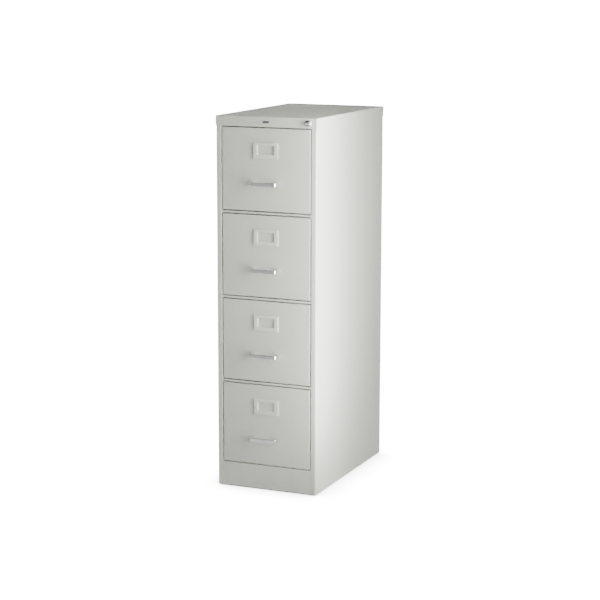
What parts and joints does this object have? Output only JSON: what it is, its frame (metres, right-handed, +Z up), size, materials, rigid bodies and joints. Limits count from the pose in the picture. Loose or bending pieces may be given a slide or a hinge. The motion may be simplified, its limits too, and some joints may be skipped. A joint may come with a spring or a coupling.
{
  "type": "metal filing cabinet",
  "caption": "Upright sheet-steel filing cabinet: letter-width drawers on telescopic slides, strap pulls, label holders and a push-in lock that bars the drawers together.",
  "frame": {"origin": "on the floor, under the middle of the bounding box, pulls included", "axes": "+X to the right seen from the front, +Y to the back, +Z up"},
  "size_m": [0.381, 0.6686, 1.3208],
  "materials": {
    "enamel": "light grey baked enamel, satin, with a fine orange-peel texture",
    "chrome": "bright plated",
    "zinc_steel": "zinc plated, unpainted",
    "glide_plastic": "moulded black plastic"
  },
  "bodies": {
    "case": {"case_side_left": "enamel", "case_side_right": "enamel", "case_back": "enamel", "top_cap": "enamel", "top_rail": "enamel", "divider_rail_1": "enamel", "divider_rail_2": "enamel", "divider_rail_3": "enamel", "toe_panel": "enamel", "base_shelf_left": "zinc_steel", "base_shelf_right": "zinc_steel", "header_plate": "chrome", "lock_housing": "chrome", "case_channel_1_left": "zinc_steel", "case_channel_1_right": "zinc_steel", "case_channel_2_left": "zinc_steel", "case_channel_2_right": "zinc_steel", "case_channel_3_left": "zinc_steel", "case_channel_3_right": "zinc_steel", "case_channel_4_left": "zinc_steel", "case_channel_4_right": "zinc_steel"},
    "drawer_1": {"drawer_front_1": "enamel", "tray_1": "enamel", "tray_back_1": "enamel", "pull_1": "chrome", "label_holder_1": "enamel"},
    "mid_slides_1": {"mid_slide_1_left": "zinc_steel", "mid_slide_1_right": "zinc_steel"},
    "follower_1": {"follower_1": "zinc_steel"},
    "drawer_2": {"drawer_front_2": "enamel", "tray_2": "enamel", "tray_back_2": "enamel", "pull_2": "chrome", "label_holder_2": "enamel"},
    "mid_slides_2": {"mid_slide_2_left": "zinc_steel", "mid_slide_2_right": "zinc_steel"},
    "follower_2": {"follower_2": "zinc_steel"},
    "drawer_3": {"drawer_front_3": "enamel", "tray_3": "enamel", "tray_back_3": "enamel", "pull_3": "chrome", "label_holder_3": "enamel"},
    "mid_slides_3": {"mid_slide_3_left": "zinc_steel", "mid_slide_3_right": "zinc_steel"},
    "follower_3": {"follower_3": "zinc_steel"},
    "drawer_4": {"drawer_front_4": "enamel", "tray_4": "enamel", "tray_back_4": "enamel", "pull_4": "chrome", "label_holder_4": "enamel"},
    "mid_slides_4": {"mid_slide_4_left": "zinc_steel", "mid_slide_4_right": "zinc_steel"},
    "follower_4": {"follower_4": "zinc_steel"},
    "lock_plunger": {"lock_plunger": "chrome"},
    "lock_core": {"lock_core": "chrome"},
    "lock_bar": {"lock_bar": "zinc_steel"},
    "glide_front_left": {"glide_front_left": "glide_plastic"},
    "glide_front_right": {"glide_front_right": "glide_plastic"},
    "glide_rear_left": {"glide_rear_left": "glide_plastic"},
    "glide_rear_right": {"glide_rear_right": "glide_plastic"}
  },
  "joints": [
    {"name": "drawer_1_slide", "type": "slide", "parent": "case", "child": "drawer_1", "axis": [0, -1, 0], "range_m": [0, 0.56]},
    {"name": "mid_slides_1_slide", "type": "slide", "parent": "case", "child": "mid_slides_1", "axis": [0, -1, 0], "range_m": [0, 0.28]},
    {"name": "follower_1_slide", "type": "slide", "parent": "drawer_1", "child": "follower_1", "axis": [0, -1, 0], "range_m": [-0.015, 0.42]},
    {"name": "drawer_2_slide", "type": "slide", "parent": "case", "child": "drawer_2", "axis": [0, -1, 0], "range_m": [0, 0.56]},
    {"name": "mid_slides_2_slide", "type": "slide", "parent": "case", "child": "mid_slides_2", "axis": [0, -1, 0], "range_m": [0, 0.28]},
    {"name": "follower_2_slide", "type": "slide", "parent": "drawer_2", "child": "follower_2", "axis": [0, -1, 0], "range_m": [-0.015, 0.42]},
    {"name": "drawer_3_slide", "type": "slide", "parent": "case", "child": "drawer_3", "axis": [0, -1, 0], "range_m": [0, 0.56]},
    {"name": "mid_slides_3_slide", "type": "slide", "parent": "case", "child": "mid_slides_3", "axis": [0, -1, 0], "range_m": [0, 0.28]},
    {"name": "follower_3_slide", "type": "slide", "parent": "drawer_3", "child": "follower_3", "axis": [0, -1, 0], "range_m": [-0.015, 0.42]},
    {"name": "drawer_4_slide", "type": "slide", "parent": "case", "child": "drawer_4", "axis": [0, -1, 0], "range_m": [0, 0.56]},
    {"name": "mid_slides_4_slide", "type": "slide", "parent": "case", "child": "mid_slides_4", "axis": [0, -1, 0], "range_m": [0, 0.28]},
    {"name": "follower_4_slide", "type": "slide", "parent": "drawer_4", "child": "follower_4", "axis": [0, -1, 0], "range_m": [-0.015, 0.42]},
    {"name": "lock_plunger_slide", "type": "slide", "parent": "case", "child": "lock_plunger", "axis": [0, 1, 0], "range_m": [0, 0.008]},
    {"name": "lock_core_turn", "type": "hinge", "parent": "lock_plunger", "child": "lock_core", "pos_m": [0.1582, -0.31215, 1.3033], "axis": [0, 1, 0], "range_deg": [0, 90]},
    {"name": "lock_bar_slide", "type": "slide", "parent": "case", "child": "lock_bar", "axis": [0, 0, 1], "range_m": [0, 0.006]},
    {"name": "glide_front_left_turn", "type": "hinge", "parent": "case", "child": "glide_front_left", "pos_m": [-0.1677, -0.26335, 0], "axis": [0, 0, 1], "continuous": true},
    {"name": "glide_front_right_turn", "type": "hinge", "parent": "case", "child": "glide_front_right", "pos_m": [0.1677, -0.26335, 0], "axis": [0, 0, 1], "continuous": true},
    {"name": "glide_rear_left_turn", "type": "hinge", "parent": "case", "child": "glide_rear_left", "pos_m": [-0.1677, 0.29705, 0], "axis": [0, 0, 1], "continuous": true},
    {"name": "glide_rear_right_turn", "type": "hinge", "parent": "case", "child": "glide_rear_right", "pos_m": [0.1677, 0.29705, 0], "axis": [0, 0, 1], "continuous": true}
  ],
  "couplings": [
    {"joint": "mid_slides_1_slide", "follows": "drawer_1_slide", "ratio": 0.5},
    {"joint": "mid_slides_2_slide", "follows": "drawer_2_slide", "ratio": 0.5},
    {"joint": "mid_slides_3_slide", "follows": "drawer_3_slide", "ratio": 0.5},
    {"joint": "mid_slides_4_slide", "follows": "drawer_4_slide", "ratio": 0.5},
    {"joint": "lock_bar_slide", "follows": "lock_plunger_slide", "ratio": 0.75}
  ]
}
